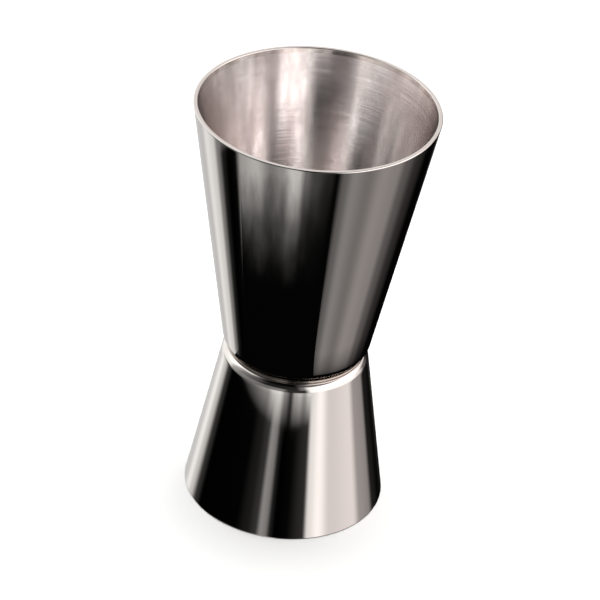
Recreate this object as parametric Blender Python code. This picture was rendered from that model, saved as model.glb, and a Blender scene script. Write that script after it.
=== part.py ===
# Double bar jigger: two drawn stainless steel cups welded floor to floor.
# Metres, +Z up. The origin is the centre of the small cup's mouth, which is the face it stands on.

import math

import bmesh
import bpy
from mathutils import Vector

# Driving dimensions
TOTAL_HEIGHT = 0.0840
SEAM_HEIGHT = 0.0322  # the plane where the two floors meet
LARGE_MOUTH_RADIUS = 0.0227
SMALL_MOUTH_RADIUS = 0.0192
WAIST_RADIUS = 0.0137  # where each wall would reach the seam plane without its rounded corner
SHEET = 0.0008
CLEARANCE = 0.0003  # between pieces that touch on the real object

# Outer radius of the bend between wall and floor
LARGE_BEND_RADIUS = 0.0028
SMALL_BEND_RADIUS = 0.0020
RIM_EDGE_RADIUS = 0.0002  # the deburred edges on each side of the rim's flat land

# Weld bead in the waist groove
BEAD_RADIUS = 0.00028
BEAD_RING_RADIUS = 0.0129

# Spot welds between the floors
WELD_COUNT = 3
WELD_CIRCLE_RADIUS = 0.0055
NUGGET_RADIUS = 0.0016
NUGGET_THICKNESS = 0.0005
NUGGET_EDGE = 0.00012
DENT_RADIUS = 0.0020
DENT_DEPTH = 0.00012

# Facets
RING_STEPS = 96
WELD_STEPS = 24
BEND_STEPS = 7
EDGE_STEPS = 2
BEAD_STEPS = 10
DENT_STEPS = 3

SMOOTH_ANGLE = math.radians(30)


def clear_scene():
    for item in list(bpy.data.objects):
        bpy.data.objects.remove(item)


def make_material(name, colour, roughness):
    material = bpy.data.materials.new(name)
    material.use_nodes = True
    shader = material.node_tree.nodes["Principled BSDF"]
    shader.inputs["Base Color"].default_value = (*colour, 1.0)
    shader.inputs["Metallic"].default_value = 1.0
    shader.inputs["Roughness"].default_value = roughness
    return material


def rounded_corner(before, corner, after, radius, steps):
    """The points of an arc that rounds the corner of a section between two straight lines."""
    back = (before - corner).normalized()
    ahead = (after - corner).normalized()
    half_angle = back.angle(ahead) / 2
    middle = (back + ahead).normalized()
    centre = corner + middle * (radius / math.sin(half_angle))
    start = corner + back * (radius / math.tan(half_angle)) - centre
    end = corner + ahead * (radius / math.tan(half_angle)) - centre
    sweep = start.angle_signed(end)
    points = []
    for step in range(steps + 1):
        angle = -sweep * step / steps
        turned = Vector((
            start.x * math.cos(angle) - start.y * math.sin(angle),
            start.x * math.sin(angle) + start.y * math.cos(angle),
        ))
        points.append(centre + turned)
    return points


def cup_section(mouth_radius, height, bend_radius):
    """Half of a cup's section as (radius, height) points, down the outside and up the inside.

    The cup stands on its floor with its mouth up. The section starts and ends on the floor's
    flat discs, which the revolve closes.
    """
    wall = Vector((mouth_radius - WAIST_RADIUS, height)).normalized()
    across = Vector((-wall.y, wall.x)) * SHEET
    land = SHEET / wall.y
    disc_radius = WAIST_RADIUS - bend_radius

    outer_mouth = Vector((mouth_radius, height))
    inner_mouth = Vector((mouth_radius - land, height))
    outer_corner = Vector((WAIST_RADIUS, 0.0))
    rise = SHEET - across.y
    inner_corner = outer_corner + across + wall * (rise / wall.y)
    outer_disc = Vector((disc_radius - bend_radius / 2, 0.0))
    inner_disc = Vector((outer_disc.x, SHEET))

    section = [outer_disc]
    section += rounded_corner(outer_disc, outer_corner, outer_mouth, bend_radius, BEND_STEPS)
    section += rounded_corner(outer_corner, outer_mouth, inner_mouth, RIM_EDGE_RADIUS, EDGE_STEPS)
    section += rounded_corner(outer_mouth, inner_mouth, inner_corner, RIM_EDGE_RADIUS, EDGE_STEPS)
    section += rounded_corner(
        inner_mouth, inner_corner, inner_disc, bend_radius - SHEET, BEND_STEPS
    )
    section.append(inner_disc)
    return section


def circle_section(ring_radius, height, radius, steps):
    points = []
    for step in range(steps):
        angle = 2 * math.pi * step / steps
        points.append(Vector((
            ring_radius + radius * math.cos(angle),
            height + radius * math.sin(angle),
        )))
    return points


def revolve(name, section, steps, closed=False):
    """A mesh turned from a section about Z. An open section's two ends become flat discs."""
    shape = bmesh.new()
    corners = [shape.verts.new((point.x, 0.0, point.y)) for point in section]
    edges = [shape.edges.new(pair) for pair in zip(corners, corners[1:])]
    if closed:
        edges.append(shape.edges.new((corners[-1], corners[0])))
    bmesh.ops.spin(
        shape,
        geom=corners + edges,
        axis=(0.0, 0.0, 1.0),
        cent=(0.0, 0.0, 0.0),
        angle=2 * math.pi,
        steps=steps,
        use_merge=True,
    )
    bmesh.ops.remove_doubles(shape, verts=shape.verts, dist=1e-6)
    open_edges = [edge for edge in shape.edges if edge.is_boundary]
    if open_edges:
        bmesh.ops.holes_fill(shape, edges=open_edges, sides=0)
    bmesh.ops.recalc_face_normals(shape, faces=shape.faces)
    mesh = bpy.data.meshes.new(name)
    shape.to_mesh(mesh)
    shape.free()
    mesh.shade_smooth()
    mesh.set_sharp_from_angle(angle=SMOOTH_ANGLE)
    return mesh


def add_object(name, mesh, material=None):
    item = bpy.data.objects.new(name, mesh)
    bpy.context.scene.collection.objects.link(item)
    if material:
        mesh.materials.append(material)
    return item


def weld_places():
    for index in range(WELD_COUNT):
        angle = 2 * math.pi * index / WELD_COUNT + math.pi / 2
        yield WELD_CIRCLE_RADIUS * math.cos(angle), WELD_CIRCLE_RADIUS * math.sin(angle)


def disc_section(radius, bottom, top):
    return [Vector((radius, top)), Vector((radius, bottom))]


def nugget_section():
    half = NUGGET_THICKNESS / 2
    inner = NUGGET_RADIUS - NUGGET_EDGE
    return [
        Vector((inner, half)),
        Vector((NUGGET_RADIUS, half - NUGGET_EDGE)),
        Vector((NUGGET_RADIUS, NUGGET_EDGE - half)),
        Vector((inner, -half)),
    ]


def dent_section(floor_height):
    """A shallow dish that sinks DENT_DEPTH into the floor and stands clear above it."""
    ball_radius = (DENT_RADIUS**2 + DENT_DEPTH**2) / (2 * DENT_DEPTH)
    reach = math.asin(DENT_RADIUS / ball_radius)
    points = [Vector((DENT_RADIUS, floor_height + DENT_DEPTH))]
    for step in range(DENT_STEPS):
        angle = reach * (1 - step / DENT_STEPS)
        sink = ball_radius * (math.cos(angle) - math.cos(reach))
        points.append(Vector((ball_radius * math.sin(angle), floor_height - sink)))
    return points


def add_cutter(name, cup, section):
    """Cuts the same turned shape out of a cup's floor at each weld."""
    for index, (x, y) in enumerate(weld_places(), start=1):
        cutter = add_object(f"{name}_{index}", revolve(name, section, WELD_STEPS))
        cutter.parent = cup
        cutter.location = (x, y, 0.0)
        cutter.hide_render = True
        cutter.display_type = "WIRE"
        cut = cup.modifiers.new(cutter.name, "BOOLEAN")
        cut.operation = "DIFFERENCE"
        cut.object = cutter


def add_cup(name, mouth_radius, height, bend_radius, material):
    cup = add_object(
        name, revolve(name, cup_section(mouth_radius, height, bend_radius), RING_STEPS), material
    )
    # The nugget and its clearance fill a pocket that is shared by the two floors.
    pocket_depth = (NUGGET_THICKNESS + CLEARANCE) / 2
    pocket = disc_section(NUGGET_RADIUS + CLEARANCE, -pocket_depth, pocket_depth)
    add_cutter(f"{name}_pocket", cup, pocket)
    add_cutter(f"{name}_dent", cup, dent_section(SHEET))
    return cup


def build():
    clear_scene()
    polished = make_material("polished_stainless_steel", (0.62, 0.61, 0.60), 0.08)
    satin = make_material("satin_stainless_steel", (0.60, 0.58, 0.57), 0.12)
    bead_metal = make_material("weld_bead", (0.50, 0.48, 0.46), 0.30)
    nugget_metal = make_material("weld_nugget", (0.33, 0.31, 0.29), 0.60)

    large_floor = SEAM_HEIGHT + CLEARANCE / 2
    large_cup = add_cup(
        "large_cup", LARGE_MOUTH_RADIUS, TOTAL_HEIGHT - large_floor, LARGE_BEND_RADIUS, polished
    )
    large_cup.location.z = large_floor

    small_floor = SEAM_HEIGHT - CLEARANCE / 2
    small_cup = add_cup(
        "small_cup", SMALL_MOUTH_RADIUS, small_floor, SMALL_BEND_RADIUS, satin
    )
    small_cup.location.z = small_floor
    small_cup.rotation_euler.y = math.pi

    bead = circle_section(BEAD_RING_RADIUS, 0.0, BEAD_RADIUS, BEAD_STEPS)
    waist_seam = add_object("waist_seam", revolve("waist_seam", bead, RING_STEPS, True), bead_metal)
    waist_seam.location.z = SEAM_HEIGHT

    for index, (x, y) in enumerate(weld_places(), start=1):
        name = f"weld_spot_{index}"
        nugget = add_object(name, revolve(name, nugget_section(), WELD_STEPS), nugget_metal)
        nugget.location = (x, y, SEAM_HEIGHT)


build()
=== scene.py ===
import math

import bpy
from mathutils import Matrix, Vector


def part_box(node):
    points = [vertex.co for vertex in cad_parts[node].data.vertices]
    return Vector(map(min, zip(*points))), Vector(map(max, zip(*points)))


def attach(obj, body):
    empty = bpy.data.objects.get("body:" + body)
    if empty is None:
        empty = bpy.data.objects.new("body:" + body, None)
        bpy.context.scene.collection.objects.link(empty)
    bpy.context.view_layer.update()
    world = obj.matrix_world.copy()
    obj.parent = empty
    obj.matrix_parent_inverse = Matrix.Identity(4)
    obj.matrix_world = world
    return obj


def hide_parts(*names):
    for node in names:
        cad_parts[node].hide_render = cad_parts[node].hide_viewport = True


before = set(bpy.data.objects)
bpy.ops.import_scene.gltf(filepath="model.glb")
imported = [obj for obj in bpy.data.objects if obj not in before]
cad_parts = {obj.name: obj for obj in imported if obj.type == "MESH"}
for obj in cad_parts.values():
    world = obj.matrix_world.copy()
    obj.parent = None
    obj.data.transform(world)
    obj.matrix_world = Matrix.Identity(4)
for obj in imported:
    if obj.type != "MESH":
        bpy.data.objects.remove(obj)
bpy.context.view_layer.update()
mm = 0.001


def linearColour(code):
    # an sRGB hex value as the linear colour that the shaders take
    channels = [int(code[i:i + 2], 16) / 255 for i in (1, 3, 5)]
    return [c / 12.92 if c <= 0.04045 else ((c + 0.055) / 1.055) ** 2.4 for c in channels] + [1.0]


def addNode(tree, kind, inputs=None, **settings):
    # One node with its settings. An input is a value, a node or socket to link from, or a list of those.
    node = tree.nodes.new(kind)
    for name, value in settings.items():
        setattr(node, name, value)
    for key, value in (inputs or {}).items():
        sources = value if isinstance(value, list) else [value]
        for source in sources:
            if isinstance(source, bpy.types.Node):
                source = next(socket for socket in source.outputs if socket.enabled)
            if isinstance(source, bpy.types.NodeSocket):
                tree.links.new(source, node.inputs[key])
            else:
                node.inputs[key].default_value = value    # a colour or a vector is a list too, set whole
                break
    return node


def newGeometryTree(name, inputs):
    tree = bpy.data.node_groups.new(name, "GeometryNodeTree")
    for label, kind in inputs.items():
        tree.interface.new_socket(name=label, in_out="INPUT", socket_type=kind)
    tree.interface.new_socket(name="Geometry", in_out="OUTPUT", socket_type="NodeSocketGeometry")
    return tree


def makeFromTree(name, tree, values):
    # runs a geometry tree on an empty mesh and keeps the result as a plain mesh object at the origin
    piece = bpy.data.objects.new(name, bpy.data.meshes.new(name))
    bpy.context.scene.collection.objects.link(piece)
    modifier = piece.modifiers.new(tree.name, "NODES")
    modifier.node_group = tree
    for socket in tree.interface.items_tree:
        if socket.in_out == "INPUT":
            modifier[socket.identifier] = values[socket.name]
    evaluated = piece.evaluated_get(bpy.context.evaluated_depsgraph_get())
    mesh = bpy.data.meshes.new_from_object(evaluated)
    piece.modifiers.clear()
    if mesh.materials[0] is None:
        mesh.materials.pop(index=0)    # the empty mesh's own slot, which no face uses
    piece.data = mesh
    mesh.name = name
    return piece


# what each finish of the steel looks like; lengths are the real spacing and depth of its marks
steel = {
    "polishedColour": "#DAD5D0",
    "polishedRoughness": 0.035,
    "hazeSize": 11 * mm,            # patches where the mop left the polish a little soft
    "hazeGain": 1.8,
    "scratchSpacing": 0.35 * mm,
    "scratchStretch": 0.08,         # hairlines run up the wall
    "scratchDepth": 0.004 * mm,
    "satinColour": "#F3F1F0",
    "satinRoughness": 0.12,
    "satinAnisotropy": 0.65,
    "turningPitch": 0.42 * mm,      # coarser than a real tool's feed, so that it shows
    "turningStretch": 0.03,         # turning marks run round the wall
    "turningRelief": 0.016 * mm,
    "satinStain": "#D3CCCA",
    "stainSize": 4.8 * mm,
    "stainStretch": 0.35,
    "beadColour": "#ABA49D",
    "beadRoughness": 0.1,
    "nuggetColour": "#7A726B",
    "nuggetRoughness": 0.6,
    "heatTint": "#8E8379",
    "grainSize": 0.55 * mm,
    "grainDepth": 0.01 * mm,
}


def newMaterial(name):
    material = bpy.data.materials.new(name)
    material.use_nodes = True
    material.node_tree.nodes.clear()
    return material, material.node_tree


def polishedStainless(values):
    # mirror-polished 18/10 stainless: clear reflections, with hairlines from the last polishing mop
    material, tree = newMaterial("mirrorPolishedStainless")
    place = addNode(tree, "ShaderNodeTexCoord").outputs["Object"]
    hairs = addNode(tree, "ShaderNodeMapping", {
        "Vector": place, "Scale": (1.0, 1.0, values["scratchStretch"])})
    hairlines = addNode(tree, "ShaderNodeTexNoise", {
        "Vector": hairs, "Scale": 1 / values["scratchSpacing"], "Detail": 3.0, "Roughness": 0.6})
    cloudy = addNode(tree, "ShaderNodeTexNoise", {
        "Vector": place, "Scale": 1 / values["hazeSize"], "Detail": 2.0})
    haze = addNode(tree, "ShaderNodeMapRange", {
        "Value": cloudy, "From Min": 0.35, "From Max": 0.75,
        "To Min": values["polishedRoughness"], "To Max": values["polishedRoughness"] * values["hazeGain"]})
    bump = addNode(tree, "ShaderNodeBump", {
        "Height": hairlines, "Strength": 0.12, "Distance": values["scratchDepth"]})
    shader = addNode(tree, "ShaderNodeBsdfPrincipled", {
        "Base Color": linearColour(values["polishedColour"]), "Metallic": 1.0,
        "Roughness": haze.outputs["Result"], "Normal": bump})
    addNode(tree, "ShaderNodeOutputMaterial", {"Surface": shader})
    return material


def satinStainless(values):
    # turned satin 18/10 stainless: fine rings round the wall smear each reflection up and down it, and
    # drying films leave it duller and a little darker in patches
    material, tree = newMaterial("turnedSatinStainless")
    place = addNode(tree, "ShaderNodeTexCoord").outputs["Object"]
    around = values["turningStretch"]
    along = addNode(tree, "ShaderNodeMapping", {"Vector": place, "Scale": (around, around, 1.0)})
    turning = addNode(tree, "ShaderNodeTexNoise", {
        "Vector": along, "Scale": 1 / values["turningPitch"], "Detail": 4.0, "Roughness": 0.65})
    film = addNode(tree, "ShaderNodeMapping", {
        "Vector": place, "Scale": (1.0, 1.0, values["stainStretch"])})
    stain = addNode(tree, "ShaderNodeTexNoise", {
        "Vector": film, "Scale": 1 / values["stainSize"], "Detail": 6.0, "Roughness": 0.62})
    patches = addNode(tree, "ShaderNodeMapRange", {"Value": stain, "From Min": 0.4, "From Max": 0.68})
    tint = addNode(tree, "ShaderNodeMix", {
        "Factor": patches.outputs["Result"], "A": linearColour(values["satinColour"]),
        "B": linearColour(values["satinStain"])}, data_type="RGBA")
    worn = addNode(tree, "ShaderNodeMath", {0: turning, 1: patches.outputs["Result"]}, operation="ADD")
    rough = addNode(tree, "ShaderNodeMapRange", {
        "Value": worn, "From Min": 0.3, "From Max": 1.5,
        "To Min": values["satinRoughness"] * 0.7, "To Max": values["satinRoughness"] * 1.6})
    bump = addNode(tree, "ShaderNodeBump", {
        "Height": turning, "Strength": 0.8, "Distance": values["turningRelief"]})
    # the tangent runs round the wall, and a quarter turn from it lays the smear up the wall
    tangent = addNode(tree, "ShaderNodeTangent", direction_type="RADIAL", axis="Z")
    shader = addNode(tree, "ShaderNodeBsdfPrincipled", {
        "Base Color": tint.outputs[2], "Metallic": 1.0, "Roughness": rough.outputs["Result"],
        "Anisotropic": values["satinAnisotropy"], "Anisotropic Rotation": 0.25,
        "Tangent": tangent, "Normal": bump})
    addNode(tree, "ShaderNodeOutputMaterial", {"Surface": shader})
    return material


def weldSteel(name, colour, roughness, values):
    # weld metal: the same stainless, cast and left a little rough, with a straw-coloured heat tint
    material, tree = newMaterial(name)
    place = addNode(tree, "ShaderNodeTexCoord").outputs["Object"]
    grain = addNode(tree, "ShaderNodeTexNoise", {
        "Vector": place, "Scale": 1 / values["grainSize"], "Detail": 3.0})
    tint = addNode(tree, "ShaderNodeMix", {
        "Factor": grain, "A": linearColour(colour), "B": linearColour(values["heatTint"])},
        data_type="RGBA")
    rough = addNode(tree, "ShaderNodeMapRange", {
        "Value": grain, "From Min": 0.3, "From Max": 0.7,
        "To Min": roughness * 0.7, "To Max": roughness * 1.3})
    bump = addNode(tree, "ShaderNodeBump", {
        "Height": grain, "Strength": 0.2, "Distance": values["grainDepth"]})
    shader = addNode(tree, "ShaderNodeBsdfPrincipled", {
        "Base Color": tint.outputs[2], "Metallic": 1.0,
        "Roughness": rough.outputs["Result"], "Normal": bump})
    addNode(tree, "ShaderNodeOutputMaterial", {"Surface": shader})
    return material


polished = polishedStainless(steel)
satin = satinStainless(steel)
beadSteel = weldSteel("weldBeadStainless", steel["beadColour"], steel["beadRoughness"], steel)
nuggetSteel = weldSteel("weldNuggetStainless", steel["nuggetColour"], steel["nuggetRoughness"], steel)
print("materials ready")


def makeTurnTree():
    # turns a profile curve (X out from the axis, Y up) round Z, as a grid of points by rings
    tree = newGeometryTree("turnProfile", {
        "Profile": "NodeSocketGeometry", "Points": "NodeSocketInt", "Steps": "NodeSocketInt"})
    given = addNode(tree, "NodeGroupInput").outputs
    columns = addNode(tree, "ShaderNodeMath", {0: given["Steps"], 1: 1.0}, operation="ADD")
    grid = addNode(tree, "GeometryNodeMeshGrid", {
        "Size X": 1.0, "Size Y": 1.0, "Vertices X": columns, "Vertices Y": given["Points"]})
    place = addNode(tree, "ShaderNodeSeparateXYZ", {0: addNode(tree, "GeometryNodeInputPosition")})
    turn = addNode(tree, "ShaderNodeMath", {0: place.outputs["X"], 1: 0.5}, operation="ADD")
    along = addNode(tree, "ShaderNodeMath", {0: place.outputs["Y"], 1: 0.5}, operation="ADD")
    sample = addNode(tree, "GeometryNodeSampleCurve", {
        "Curves": given["Profile"], "Factor": along}, mode="FACTOR", use_all_curves=True)
    point = addNode(tree, "ShaderNodeSeparateXYZ", {0: sample.outputs["Position"]})
    angle = addNode(tree, "ShaderNodeMath", {0: turn, 1: 2 * math.pi}, operation="MULTIPLY")
    cosine = addNode(tree, "ShaderNodeMath", {0: angle}, operation="COSINE")
    sine = addNode(tree, "ShaderNodeMath", {0: angle}, operation="SINE")
    x = addNode(tree, "ShaderNodeMath", {0: point.outputs["X"], 1: cosine}, operation="MULTIPLY")
    y = addNode(tree, "ShaderNodeMath", {0: point.outputs["X"], 1: sine}, operation="MULTIPLY")
    turned = addNode(tree, "ShaderNodeCombineXYZ", {"X": x, "Y": y, "Z": point.outputs["Y"]})
    shell = addNode(tree, "GeometryNodeSetPosition", {"Geometry": grid.outputs["Mesh"], "Position": turned})
    addNode(tree, "NodeGroupOutput", {"Geometry": shell})
    return tree


turnTree = makeTurnTree()


cupShared = {
    "Waist Radius": 13.7 * mm,
    "Sheet": 0.8 * mm,
    "Rim Edge": 0.2 * mm,
    "Rim Support": 1.0 * mm,        # how far down each wall the rim's own rings reach
    "Ring Steps": 192,
    "Turning Depth": 0.008 * mm,    # relief of the turning rings on the inner wall
    "Turning Pitch": 1.2 * mm,
    "Turning Fade": 1.5 * mm,       # the rings die away over this height at each end of the wall
    "Polish Line": 4.0 * mm,        # how far below the rim the mop reached inside
    "Polish Line Width": 0.35 * mm,
    "Polish Line Depth": 0.012 * mm,
    "Weld Circle": 5.5 * mm,
    "Welds": 3,
    "Dent Radius": 2.0 * mm,
    "Dent Flat": 1.4 * mm,
    "Dent Depth": 0.12 * mm,
}

# how many points each stretch of the profile is cut into, up the outside and down the inside
profilePoints = {
    "outerFloor": 8,
    "outerBend": 40,
    "outerWall": 40,
    "rim": 60,
    "innerWall": 190,    # close enough to draw the turning rings
    "innerBend": 30,
    "innerFloor": 70,    # close enough to draw the dents
}
rimArcPoints = 10
joinDistance = 0.002 * mm


def cupInputs(values):
    # where the wall's slope, its bends and the rim's land put the corners of the profile
    inputs = dict(values)
    outerMouth = inputs.pop("Mouth Radius")
    waist = inputs.pop("Waist Radius")
    sheet = inputs.pop("Sheet")
    height = values["Height"]
    bend = values["Bend Radius"]
    slope = math.atan2(height, outerMouth - waist)
    out = math.cos(slope)
    up = math.sin(slope)
    centreRadius = waist - bend * math.tan(slope / 2)
    innerBend = bend - sheet
    innerMouth = outerMouth - sheet / up
    below = height - values["Rim Support"]
    shift = values["Rim Support"] * out / up
    return {
        **inputs,
        "Slope": slope,
        "Inner Bend Radius": innerBend,
        "Bend Centre": (centreRadius, bend, 0.0),
        "Outer Floor End": (centreRadius, 0.0, 0.0),
        "Outer Foot": (centreRadius + bend * up, bend - bend * out, 0.0),
        "Outer Under": (outerMouth - shift, below, 0.0),
        "Outer Top": (outerMouth, height, 0.0),
        "Inner Top": (innerMouth, height, 0.0),
        "Inner Under": (innerMouth - shift, below, 0.0),
        "Inner Foot": (centreRadius + innerBend * up, bend - innerBend * out, 0.0),
        "Inner Floor End": (centreRadius, sheet, 0.0),
        "Inner Centre": (0.0, sheet, 0.0),
    }


def makeCupTree(example):
    # One drawn cup, floor down at z = 0. Profile stretches run up the outside and down the inside.
    # The example gives the tree's inputs their names and kinds.
    kinds = {int: "NodeSocketInt", float: "NodeSocketFloat", tuple: "NodeSocketVector"}
    tree = newGeometryTree("drawnCup", {label: kinds[type(value)] for label, value in example.items()})
    given = addNode(tree, "NodeGroupInput").outputs

    outerArc = addNode(tree, "GeometryNodeCurveArc", {
        "Resolution": profilePoints["outerBend"], "Radius": given["Bend Radius"],
        "Start Angle": -math.pi / 2, "Sweep Angle": given["Slope"]})
    innerStart = addNode(tree, "ShaderNodeMath", {0: given["Slope"], 1: math.pi / 2}, operation="SUBTRACT")
    innerSweep = addNode(tree, "ShaderNodeMath", {0: given["Slope"], 1: -1.0}, operation="MULTIPLY")
    innerArc = addNode(tree, "GeometryNodeCurveArc", {
        "Resolution": profilePoints["innerBend"], "Radius": given["Inner Bend Radius"],
        "Start Angle": innerStart, "Sweep Angle": innerSweep})
    rimCorners = addNode(tree, "GeometryNodeCurvePrimitiveQuadrilateral", {
        "Point 1": given["Outer Under"], "Point 2": given["Outer Top"],
        "Point 3": given["Inner Top"], "Point 4": given["Inner Under"]}, mode="POINTS")
    rimOpen = addNode(tree, "GeometryNodeSetSplineCyclic", {0: rimCorners, "Cyclic": False})
    rimCurve = addNode(tree, "GeometryNodeFilletCurve", {
        "Curve": rimOpen, "Radius": given["Rim Edge"], "Count": rimArcPoints}, mode="POLY")
    profiles = {
        "outerFloor": addNode(tree, "GeometryNodeCurvePrimitiveLine", {
            "Start": (0.0, 0.0, 0.0), "End": given["Outer Floor End"]}),
        "outerBend": addNode(tree, "GeometryNodeTransform", {
            "Geometry": outerArc, "Translation": given["Bend Centre"]}),
        "outerWall": addNode(tree, "GeometryNodeCurvePrimitiveLine", {
            "Start": given["Outer Foot"], "End": given["Outer Under"]}),
        "rim": rimCurve,
        "innerWall": addNode(tree, "GeometryNodeCurvePrimitiveLine", {
            "Start": given["Inner Under"], "End": given["Inner Foot"]}),
        "innerBend": addNode(tree, "GeometryNodeTransform", {
            "Geometry": innerArc, "Translation": given["Bend Centre"]}),
        "innerFloor": addNode(tree, "GeometryNodeCurvePrimitiveLine", {
            "Start": given["Inner Floor End"], "End": given["Inner Centre"]}),
    }
    shells = {}
    for name, curve in profiles.items():
        shells[name] = addNode(tree, "GeometryNodeGroup", node_tree=turnTree)
        tree.links.new(curve.outputs[0], shells[name].inputs["Profile"])
        tree.links.new(given["Ring Steps"], shells[name].inputs["Steps"])
        shells[name].inputs["Points"].default_value = profilePoints[name]

    # turning rings: the inner wall rises and falls a few microns with height
    position = addNode(tree, "ShaderNodeSeparateXYZ", {0: addNode(tree, "GeometryNodeInputPosition")})
    height = position.outputs["Z"]
    turns = addNode(tree, "ShaderNodeMath", {0: height, 1: given["Turning Pitch"]}, operation="DIVIDE")
    along = addNode(tree, "ShaderNodeMath", {0: turns, 1: given["Seed"]}, operation="ADD")
    rings = addNode(tree, "ShaderNodeTexNoise", {
        "W": along, "Scale": 1.0, "Detail": 2.0, "Roughness": 0.6}, noise_dimensions="1D")
    centred = addNode(tree, "ShaderNodeMath", {0: rings, 1: 0.5}, operation="SUBTRACT")
    swell = addNode(tree, "ShaderNodeMath", {0: centred, 1: given["Turning Depth"]}, operation="MULTIPLY")

    # the line where the rim's polish ends is one shallow groove, a bell curve in height
    line = addNode(tree, "ShaderNodeMath", {
        0: given["Height"], 1: given["Polish Line"]}, operation="SUBTRACT")
    fromLine = addNode(tree, "ShaderNodeMath", {0: height, 1: line}, operation="SUBTRACT")
    widths = addNode(tree, "ShaderNodeMath", {
        0: fromLine, 1: given["Polish Line Width"]}, operation="DIVIDE")
    square = addNode(tree, "ShaderNodeMath", {0: widths, 1: widths}, operation="MULTIPLY")
    minus = addNode(tree, "ShaderNodeMath", {0: square, 1: -1.0}, operation="MULTIPLY")
    bell = addNode(tree, "ShaderNodeMath", {0: minus}, operation="EXPONENT")
    groove = addNode(tree, "ShaderNodeMath", {0: bell, 1: given["Polish Line Depth"]}, operation="MULTIPLY")
    marks = addNode(tree, "ShaderNodeMath", {0: swell, 1: groove}, operation="SUBTRACT")

    # both die away before the wall's two ends, where it has to meet the rim and the bend
    top = addNode(tree, "ShaderNodeMath", {
        0: given["Height"], 1: given["Rim Support"]}, operation="SUBTRACT")
    topFade = addNode(tree, "ShaderNodeMath", {0: top, 1: given["Turning Fade"]}, operation="SUBTRACT")
    footFade = addNode(tree, "ShaderNodeMath", {
        0: given["Bend Radius"], 1: given["Turning Fade"]}, operation="ADD")
    atTop = addNode(tree, "ShaderNodeMapRange", {
        "Value": height, "From Min": top, "From Max": topFade, "To Min": 0.0, "To Max": 1.0})
    atFoot = addNode(tree, "ShaderNodeMapRange", {
        "Value": height, "From Min": given["Bend Radius"], "From Max": footFade,
        "To Min": 0.0, "To Max": 1.0})
    fade = addNode(tree, "ShaderNodeMath", {
        0: atTop.outputs["Result"], 1: atFoot.outputs["Result"]}, operation="MINIMUM")
    relief = addNode(tree, "ShaderNodeMath", {0: marks, 1: fade}, operation="MULTIPLY")
    ringed = addNode(tree, "GeometryNodeSetPosition", {
        "Geometry": shells["innerWall"],
        "Offset": addNode(tree, "ShaderNodeVectorMath", {
            0: addNode(tree, "GeometryNodeInputNormal"), "Scale": relief}, operation="SCALE")})

    # electrode dents: the floor sinks round each weld place, found by folding the angle about the axis
    bearing = addNode(tree, "ShaderNodeMath", {
        0: position.outputs["Y"], 1: position.outputs["X"]}, operation="ARCTAN2")
    fromFirst = addNode(tree, "ShaderNodeMath", {0: bearing, 1: math.pi / 2}, operation="SUBTRACT")
    halfShare = addNode(tree, "ShaderNodeMath", {0: math.pi, 1: given["Welds"]}, operation="DIVIDE")
    otherHalf = addNode(tree, "ShaderNodeMath", {0: halfShare, 1: -1.0}, operation="MULTIPLY")
    folded = addNode(tree, "ShaderNodeMath", {0: fromFirst, 1: halfShare, 2: otherHalf}, operation="WRAP")
    flat = addNode(tree, "ShaderNodeCombineXYZ", {"X": position.outputs["X"], "Y": position.outputs["Y"]})
    radius = addNode(tree, "ShaderNodeVectorMath", {0: flat}, operation="LENGTH").outputs["Value"]
    cosine = addNode(tree, "ShaderNodeMath", {0: folded}, operation="COSINE")
    sine = addNode(tree, "ShaderNodeMath", {0: folded}, operation="SINE")
    aside = addNode(tree, "ShaderNodeMath", {0: radius, 1: sine}, operation="MULTIPLY")
    along = addNode(tree, "ShaderNodeMath", {0: radius, 1: cosine}, operation="MULTIPLY")
    ahead = addNode(tree, "ShaderNodeMath", {0: along, 1: given["Weld Circle"]}, operation="SUBTRACT")
    toWeld = addNode(tree, "ShaderNodeCombineXYZ", {"X": ahead, "Y": aside})
    gap = addNode(tree, "ShaderNodeVectorMath", {0: toWeld}, operation="LENGTH").outputs["Value"]
    depth = addNode(tree, "ShaderNodeMath", {0: given["Dent Depth"], 1: -1.0}, operation="MULTIPLY")
    sink = addNode(tree, "ShaderNodeMapRange", {
        "Value": gap, "From Min": given["Dent Flat"], "From Max": given["Dent Radius"],
        "To Min": depth, "To Max": 0.0}, interpolation_type="SMOOTHSTEP")
    dented = addNode(tree, "GeometryNodeSetPosition", {
        "Geometry": shells["innerFloor"],
        "Offset": addNode(tree, "ShaderNodeCombineXYZ", {"Z": sink.outputs["Result"]})})

    inner = addNode(tree, "GeometryNodeJoinGeometry", {0: [ringed, shells["innerBend"], dented]})
    innerMarked = addNode(tree, "GeometryNodeStoreNamedAttribute", {
        "Geometry": inner, "Name": "inside", "Value": True}, data_type="BOOLEAN", domain="FACE")
    whole = addNode(tree, "GeometryNodeJoinGeometry", {
        0: [shells["outerFloor"], shells["outerBend"], shells["outerWall"], shells["rim"], innerMarked]})
    closed = addNode(tree, "GeometryNodeMergeByDistance", {"Geometry": whole, "Distance": joinDistance})
    smooth = addNode(tree, "GeometryNodeSetShadeSmooth", {0: closed})
    placed = addNode(tree, "GeometryNodeTransform", {
        "Geometry": smooth,
        "Translation": addNode(tree, "ShaderNodeCombineXYZ", {"Z": given["Floor Height"]}),
        "Rotation": addNode(tree, "ShaderNodeCombineXYZ", {"Y": given["Turn Over"]})})
    real = addNode(tree, "GeometryNodeRealizeInstances", {0: placed})
    outside = addNode(tree, "GeometryNodeSetMaterial", {"Geometry": real, "Material": polished})
    insideFaces = addNode(tree, "GeometryNodeInputNamedAttribute", {"Name": "inside"}, data_type="BOOLEAN")
    inside = addNode(tree, "GeometryNodeSetMaterial", {
        "Geometry": outside, "Selection": insideFaces.outputs["Attribute"], "Material": satin})
    addNode(tree, "NodeGroupOutput", {"Geometry": inside})
    return tree


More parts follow.
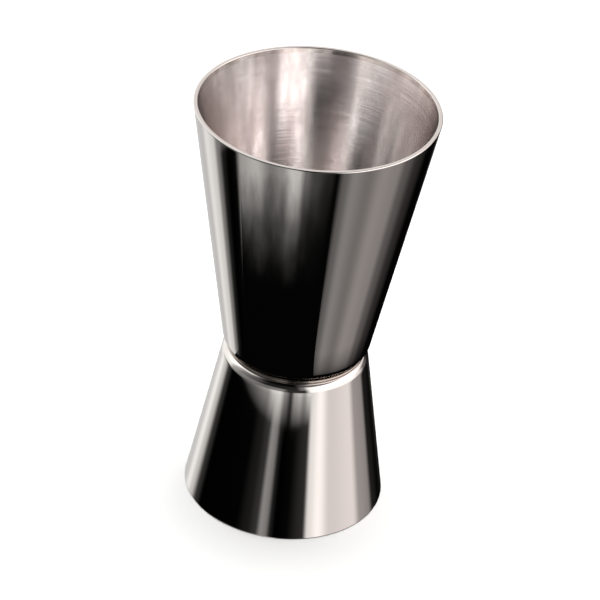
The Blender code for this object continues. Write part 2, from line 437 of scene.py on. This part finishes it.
largeLow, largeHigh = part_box("large_cup")
smallLow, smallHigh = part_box("small_cup")

largeCup = {
    **cupShared,
    "Mouth Radius": 22.7 * mm,
    "Height": largeHigh.z - largeLow.z,
    "Bend Radius": 2.8 * mm,
    "Floor Height": largeLow.z,
    "Turn Over": 0.0,
    "Seed": 3.0,
}
smallCup = {
    **cupShared,
    "Mouth Radius": 19.2 * mm,
    "Height": smallHigh.z - smallLow.z,
    "Bend Radius": 2.0 * mm,
    "Floor Height": smallHigh.z,
    "Turn Over": math.pi,
    "Seed": 41.0,
}

cupTree = makeCupTree(cupInputs(largeCup))
for name, values, node in (("largeCup", largeCup, "large_cup"), ("smallCup", smallCup, "small_cup")):
    piece = makeFromTree(name, cupTree, cupInputs(values))
    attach(piece, "root")
    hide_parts(node)
    print(name, len(piece.data.polygons), "faces")


seamLow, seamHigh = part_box("waist_seam")
waistBead = {
    "Ring Radius": 12.9 * mm,
    "Bead Radius": (seamHigh.z - seamLow.z) / 2,
    "Bead Height": (seamHigh.z + seamLow.z) / 2,
    "Ripple Pitch": 1.3 * mm,
    "Ripple Depth": 0.006 * mm,
    "Ring Steps": 1080,
}
beadProfilePoints = 17
beadArcPoints = 40


def makeBeadTree():
    # a round bead whose surface steps in at each ripple of the weld
    tree = newGeometryTree("weldBead", {
        "Ring Radius": "NodeSocketFloat", "Bead Radius": "NodeSocketFloat",
        "Bead Height": "NodeSocketFloat", "Ripple Pitch": "NodeSocketFloat",
        "Ripple Depth": "NodeSocketFloat", "Ring Steps": "NodeSocketInt"})
    given = addNode(tree, "NodeGroupInput").outputs
    # a half turn in Start Angle puts the profile's seam on the hidden inner side
    section = addNode(tree, "GeometryNodeCurveArc", {
        "Resolution": beadArcPoints, "Radius": given["Bead Radius"],
        "Start Angle": math.pi, "Sweep Angle": 2 * math.pi})
    centred = addNode(tree, "GeometryNodeTransform", {
        "Geometry": section,
        "Translation": addNode(tree, "ShaderNodeCombineXYZ", {
            "X": given["Ring Radius"], "Y": given["Bead Height"]})})
    turned = addNode(tree, "GeometryNodeGroup", node_tree=turnTree)
    tree.links.new(centred.outputs[0], turned.inputs["Profile"])
    tree.links.new(given["Ring Steps"], turned.inputs["Steps"])
    turned.inputs["Points"].default_value = beadProfilePoints
    closed = addNode(tree, "GeometryNodeMergeByDistance", {"Geometry": turned, "Distance": joinDistance})
    position = addNode(tree, "ShaderNodeSeparateXYZ", {0: addNode(tree, "GeometryNodeInputPosition")})
    bearing = addNode(tree, "ShaderNodeMath", {
        0: position.outputs["Y"], 1: position.outputs["X"]}, operation="ARCTAN2")
    length = addNode(tree, "ShaderNodeMath", {0: bearing, 1: given["Ring Radius"]}, operation="MULTIPLY")
    ripples = addNode(tree, "ShaderNodeMath", {0: length, 1: given["Ripple Pitch"]}, operation="DIVIDE")
    saw = addNode(tree, "ShaderNodeMath", {0: ripples}, operation="FRACT")
    dip = addNode(tree, "ShaderNodeMath", {0: saw, 1: saw}, operation="MULTIPLY")
    depth = addNode(tree, "ShaderNodeMath", {0: dip, 1: given["Ripple Depth"]}, operation="MULTIPLY")
    inward = addNode(tree, "ShaderNodeMath", {0: depth, 1: -1.0}, operation="MULTIPLY")
    rippled = addNode(tree, "GeometryNodeSetPosition", {
        "Geometry": closed,
        "Offset": addNode(tree, "ShaderNodeVectorMath", {
            0: addNode(tree, "GeometryNodeInputNormal"), "Scale": inward}, operation="SCALE")})
    smooth = addNode(tree, "GeometryNodeSetShadeSmooth", {0: rippled})
    real = addNode(tree, "GeometryNodeRealizeInstances", {0: smooth})
    metal = addNode(tree, "GeometryNodeSetMaterial", {"Geometry": real, "Material": beadSteel})
    addNode(tree, "NodeGroupOutput", {"Geometry": metal})
    return tree


bead = makeFromTree("waistBead", makeBeadTree(), waistBead)
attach(bead, "root")
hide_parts("waist_seam")
print("waist bead", len(bead.data.polygons), "faces")

for name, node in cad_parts.items():
    if name.startswith("weld_spot"):
        for slot in node.material_slots:
            slot.material = nuggetSteel
print("weld spots finished")


def addBearing(tree, heading):
    # the angle round the axis in radians: nought toward the camera's side, and plus to its right
    front = addNode(tree, "ShaderNodeMath", {0: heading.outputs["Y"], 1: -1.0}, operation="MULTIPLY")
    return addNode(tree, "ShaderNodeMath", {0: heading.outputs["X"], 1: front}, operation="ARCTAN2")


def addBoards(tree, bearing, stops):
    # light and dark boards round the table: a colour ramp over the bearing
    turn = addNode(tree, "ShaderNodeMapRange", {
        "Value": bearing, "From Min": -math.pi, "From Max": math.pi, "To Min": 0.0, "To Max": 1.0})
    ramp = addNode(tree, "ShaderNodeValToRGB", {"Fac": turn.outputs["Result"]})
    ramp.color_ramp.interpolation = "EASE"
    stops = stops + [(180, stops[0][1])]    # the ring closes behind
    elements = ramp.color_ramp.elements
    while len(elements) < len(stops):
        elements.new(1.0)
    for element, (degrees, brightness) in zip(elements, stops):
        element.position = (degrees + 180) / 360
    for element, (degrees, brightness) in zip(elements, stops):
        element.color = [brightness ** 2.2] * 3 + [1.0]    # 2.2 makes even steps look even
    return ramp.outputs["Color"]


# Rings of boards, seen only as reflections. A ring takes over from the one before at its elevation in
# degrees, and its stops are (bearing in degrees, brightness).
studioBoards = {
    "rings": {
        "ground": (-90, [
            (-180, 0.7), (-150, 0.7), (-138, 0.85), (-126, 0.79), (-118, 0.46), (-110, 0.12), (-102, 0.02),
            (-92, 0.05), (-84, 0.6), (-66, 0.68), (-48, 0.46), (-36, 0.54), (-24, 0.74), (-17, 0.72),
            (-9, 0.4), (0, 0.26), (16, 0.16), (25, 0.03), (33, 0.36), (44, 0.49), (60, 0.43), (78, 0.53),
            (94, 0.5), (106, 0.34), (122, 0.18), (140, 0.04), (168, 0.06), (176, 0.35)]),
        "tableTop": (-30, [
            (-180, 0.78), (-160, 0.77), (-138, 0.92), (-126, 0.73), (-114, 0.2), (-103, 0.03), (-52, 0.04),
            (-38, 0.12), (-28, 0.2), (-22, 0.52), (-18, 0.48), (-12, 0.12), (-7, 0.02), (4, 0.05),
            (23, 0.18), (29, 0.88), (40, 1.0), (54, 0.82), (86, 0.87), (98, 0.58), (114, 0.54),
            (124, 0.12), (148, 0.09), (160, 0.4), (170, 0.7)]),
        "lowBoards": (-10, [
            (-180, 0.95), (-112, 0.95), (-98, 0.6), (-86, 0.5), (-65, 0.45), (-42, 0.42), (-18, 0.5),
            (-6, 0.18), (16, 0.2), (27, 1.05), (92, 1.05), (108, 0.9), (122, 0.4), (142, 0.1),
            (156, 0.3), (168, 0.9)]),
        "highBoards": (16, [
            (-180, 0.84), (-148, 0.9), (-112, 1.05), (-98, 0.64), (-84, 0.44), (-65, 0.33), (-42, 0.14),
            (4, 0.16), (15, 0.45), (26, 1.0), (45, 1.25), (60, 1.35), (100, 1.3), (116, 1.05),
            (130, 0.84), (150, 0.86)]),
        "tiltedBoards": (48, [
            (-180, 1.05), (-105, 0.95), (-92, 0.85), (-78, 0.4), (-60, 0.08), (0, 0.06), (20, 0.3),
            (40, 0.42), (70, 0.5), (98, 0.7), (113, 0.4), (132, 0.35), (155, 0.8)]),
        "ceiling": (66, [
            (-180, 0.6), (-88, 0.6), (-70, 0.35), (-50, 0.04), (0, 0.02), (12, 0.2), (30, 0.34),
            (60, 0.3), (78, 0.08), (110, 0.2), (150, 0.4)]),
    },
    "spread": 10.0,             # how many degrees one ring takes to pass into the next
    "strength": 1.43,           # makes up for the light that polished steel takes
    "rosyColour": "#FFF8F8",    # the boards on the right are a little warmer
    "rosyFrom": 15,
    "rosyTo": 60,
}


def makeWorld(values):
    # the bearing picks the board, and the height picks the ring
    world = bpy.data.worlds.new("studioBoards")
    bpy.context.scene.world = world
    world.use_nodes = True
    world.cycles_visibility.diffuse = False
    tree = world.node_tree
    tree.nodes.clear()
    place = addNode(tree, "ShaderNodeTexCoord").outputs["Generated"]
    heading = addNode(tree, "ShaderNodeSeparateXYZ", {0: place})
    bearing = addBearing(tree, heading)
    height = addNode(tree, "ShaderNodeMath", {0: heading.outputs["Z"]}, operation="ARCSINE")

    half = math.radians(values["spread"] / 2)
    colour = None
    for elevation, stops in values["rings"].values():
        ring = addBoards(tree, bearing, stops)
        if colour is None:
            colour = ring
            continue
        level = math.radians(elevation)
        share = addNode(tree, "ShaderNodeMapRange", {
            "Value": height, "From Min": level - half, "From Max": level + half},
            interpolation_type="SMOOTHSTEP")
        mixed = addNode(tree, "ShaderNodeMix", {
            "Factor": share.outputs["Result"], "A": colour, "B": ring}, data_type="RGBA")
        colour = mixed.outputs[2]

    toRight = addNode(tree, "ShaderNodeMapRange", {
        "Value": bearing, "From Min": math.radians(values["rosyFrom"]),
        "From Max": math.radians(values["rosyTo"])})
    rosy = addNode(tree, "ShaderNodeMix", {
        "Factor": toRight.outputs["Result"], "A": linearColour("#FFFFFF"),
        "B": linearColour(values["rosyColour"])}, data_type="RGBA")
    tinted = addNode(tree, "ShaderNodeMix", {
        "Factor": 1.0, "A": colour, "B": rosy.outputs[2]}, data_type="RGBA", blend_type="MULTIPLY")
    background = addNode(tree, "ShaderNodeBackground", {
        "Color": tinted.outputs[2], "Strength": values["strength"]})
    addNode(tree, "ShaderNodeOutputWorld", {"Surface": background})


def addStagePiece(name, points, faces, material, hiddenFrom):
    # one flat piece of the studio, hidden from the kinds of ray that are named
    mesh = bpy.data.meshes.new(name)
    mesh.from_pydata(points, [], faces)
    mesh.materials.append(material)
    piece = bpy.data.objects.new(name, mesh)
    bpy.context.scene.collection.objects.link(piece)
    for ray in hiddenFrom:
        setattr(piece, "visible_" + ray, False)


onlyInSteel = ("camera", "diffuse", "shadow", "transmission")

# Dark sheets at the waist's height: the front card is a black card in front of the jigger, and the waist
# shade is painted shade, a black sheet inside the waist that stands in for the dark reflection of the
# crevice between the cups. A row of a sheet is its distance from the axis, and the bearings in degrees
# between which it runs. The sheet is solid near the axis and clears away from it.
darkSheetShared = {
    "columns": 30,
    "cloudSize": 11 * mm,
    "colour": "#050505",
}
frontCard = {
    **darkSheetShared,
    "height": 33 * mm,
    "solid": 38 * mm,
    "clear": 68 * mm,
    "fadePower": 3.0,
    "cloudDepth": 12 * mm,      # how far the clouds shift the fade
    "rows": [(13.4 * mm, -48, 13), (38 * mm, -69, 19), (66 * mm, -72, 20)],
}
# painted shade: a black sheet at the large cup's own bend, seen only in the steel, that darkens the bend
# where the shaded crevice between the cups would
waistShade = {
    **darkSheetShared,
    "height": 33.1 * mm,
    "solid": 14.7 * mm,
    "clear": 20 * mm,
    "fadePower": 0.5,
    "cloudDepth": 0.0,
    "rows": [(13.4 * mm, -60, 105), (20 * mm, -60, 105)],
}


def makeDarkSheet(name, values):
    # Seen only in the steel, and only from above. It darkens the large cup toward the waist, and for the
    # waist shade that darkening is painted shade.
    columns = values["columns"]
    points = []
    for column in range(columns + 1):
        for reach, start, end in values["rows"]:
            bearing = math.radians(start + (end - start) * column / columns)
            points.append((reach * math.sin(bearing), -reach * math.cos(bearing), values["height"]))
    faces = []
    rows = len(values["rows"])
    for first in range(0, columns * rows, rows):
        for i in range(first, first + rows - 1):
            faces.append((i, i + 1, i + rows + 1, i + rows))

    material, tree = newMaterial(name + "Feathered")
    place = addNode(tree, "ShaderNodeTexCoord").outputs["Object"]
    flat = addNode(tree, "ShaderNodeVectorMath", {0: place, 1: (1.0, 1.0, 0.0)}, operation="MULTIPLY")
    distance = addNode(tree, "ShaderNodeVectorMath", {0: flat}, operation="LENGTH").outputs["Value"]
    cloud = addNode(tree, "ShaderNodeTexNoise", {
        "Vector": place, "Scale": 1 / values["cloudSize"], "Detail": 2.0})
    ragged = addNode(tree, "ShaderNodeMath", {0: cloud, 1: values["cloudDepth"], 2: distance},
                     operation="MULTIPLY_ADD")
    fade = addNode(tree, "ShaderNodeMapRange", {
        "Value": ragged, "From Min": values["solid"], "From Max": values["clear"]})
    clear = addNode(tree, "ShaderNodeMath", {0: fade.outputs["Result"], 1: values["fadePower"]},
                    operation="POWER")
    under = addNode(tree, "ShaderNodeNewGeometry").outputs["Backfacing"]
    through = addNode(tree, "ShaderNodeMath", {0: clear, 1: under}, operation="MAXIMUM")
    black = addNode(tree, "ShaderNodeEmission", {"Color": linearColour(values["colour"])})
    shader = addNode(tree, "ShaderNodeMixShader", {
        0: through, 1: black, 2: addNode(tree, "ShaderNodeBsdfTransparent")})
    addNode(tree, "ShaderNodeOutputMaterial", {"Surface": shader})
    addStagePiece(name, points, faces, material, onlyInSteel)


# a bright strip far off in front, where a pale table shows past the dark card; bearings in degrees
tableEdge = {
    "from": -105,
    "to": 27,
    "step": 3,
    "distance": 105 * mm,
    "low": -3 * mm,
    "high": 14 * mm,
    "feather": 8 * mm,
    "boards": [
        (-180, 0.5), (-100, 0.65), (-60, 0.6), (-35, 0.7), (-26, 0.95), (-18, 1.0), (-10, 0.6),
        (-3, 0.25), (3, 0.75), (9, 0.85), (15, 0.7), (22, 1.0)],
}


def makeTableEdge(values):
    # it puts the lights on the small cup's shoulder
    points = []
    for degrees in range(values["from"], values["to"] + 1, values["step"]):
        x = values["distance"] * math.sin(math.radians(degrees))
        y = -values["distance"] * math.cos(math.radians(degrees))
        points += [(x, y, values["low"]), (x, y, values["high"])]
    faces = [(i, i + 2, i + 3, i + 1) for i in range(0, len(points) - 2, 2)]

    material, tree = newMaterial("tableEdgeFeathered")
    place = addNode(tree, "ShaderNodeTexCoord").outputs["Object"]
    heading = addNode(tree, "ShaderNodeSeparateXYZ", {0: place})
    rise = addNode(tree, "ShaderNodeMapRange", {
        "Value": heading.outputs["Z"], "From Min": values["low"],
        "From Max": values["low"] + values["feather"]})
    fall = addNode(tree, "ShaderNodeMapRange", {
        "Value": heading.outputs["Z"], "From Min": values["high"] - values["feather"],
        "From Max": values["high"], "To Min": 1.0, "To Max": 0.0})
    solid = addNode(tree, "ShaderNodeMath", {
        0: rise.outputs["Result"], 1: fall.outputs["Result"]}, operation="MULTIPLY")
    boards = addBoards(tree, addBearing(tree, heading), values["boards"])
    white = addNode(tree, "ShaderNodeEmission", {"Color": boards})
    shader = addNode(tree, "ShaderNodeMixShader", {
        0: solid, 1: addNode(tree, "ShaderNodeBsdfTransparent"), 2: white})
    addNode(tree, "ShaderNodeOutputMaterial", {"Surface": shader})
    addStagePiece("tableEdge", points, faces, material, onlyInSteel)


paperFloor = {"colour": "#F4F4F3", "size": 6.0, "roughness": 0.9}


def makeFloor(values):
    # white paper, clear from below so that the jigger can be looked at from under it
    half = values["size"] / 2
    points = [(-half, -half, 0), (half, -half, 0), (half, half, 0), (-half, half, 0)]
    material, tree = newMaterial("whitePaper")
    paper = addNode(tree, "ShaderNodeBsdfPrincipled", {
        "Base Color": linearColour(values["colour"]), "Roughness": values["roughness"]})
    under = addNode(tree, "ShaderNodeNewGeometry").outputs["Backfacing"]
    shader = addNode(tree, "ShaderNodeMixShader", {
        0: under, 1: paper, 2: addNode(tree, "ShaderNodeBsdfTransparent")})
    addNode(tree, "ShaderNodeOutputMaterial", {"Surface": shader})
    addStagePiece("paperFloor", points, [(0, 1, 2, 3)], material, ("glossy",))


topLight = {"power": 27.0, "size": 0.9, "place": (0.0, 0.1, 1.2)}


def makeTopLight(values):
    # lights the paper only: the steel gets its light from the boards
    light = bpy.data.lights.new("softTopLight", "AREA")
    light.energy = values["power"]
    light.size = values["size"]
    lamp = bpy.data.objects.new("softTopLight", light)
    lamp.location = values["place"]
    lamp.visible_glossy = False
    bpy.context.scene.collection.objects.link(lamp)


# angles in degrees; the azimuth is from the part's front, and the roll tips the picture
view = {
    "azimuth": -3.34,
    "elevation": 33.43,
    "roll": 5.47,
    "distance": 610.6 * mm,
    "aimHeight": 42.0 * mm,
    "lens": 195.0,
}


def makeCamera(values):
    azimuth = math.radians(values["azimuth"])
    elevation = math.radians(values["elevation"])
    back = Vector((
        math.sin(azimuth) * math.cos(elevation),
        -math.cos(azimuth) * math.cos(elevation),
        math.sin(elevation)))
    camera = bpy.data.objects.new("camera", bpy.data.cameras.new("camera"))
    camera.data.lens = values["lens"]
    level = (-back).to_track_quat("-Z", "Y").to_matrix().to_4x4()
    aim = Vector((0.0, 0.0, values["aimHeight"]))
    camera.matrix_world = (
        Matrix.Translation(aim + back * values["distance"])
        @ level @ Matrix.Rotation(math.radians(values["roll"]), 4, "Z"))
    bpy.context.scene.collection.objects.link(camera)
    bpy.context.scene.camera = camera


makeWorld(studioBoards)
makeFloor(paperFloor)
makeDarkSheet("frontCard", frontCard)
# painted shade in the steel at the waist
makeDarkSheet("waistShade", waistShade)
makeTableEdge(tableEdge)
makeTopLight(topLight)
makeCamera(view)
bpy.context.scene.view_settings.view_transform = "Standard"
bpy.context.scene.cycles.glossy_bounces = 12    # a bright cup passes light round its wall many times
print("studio ready")
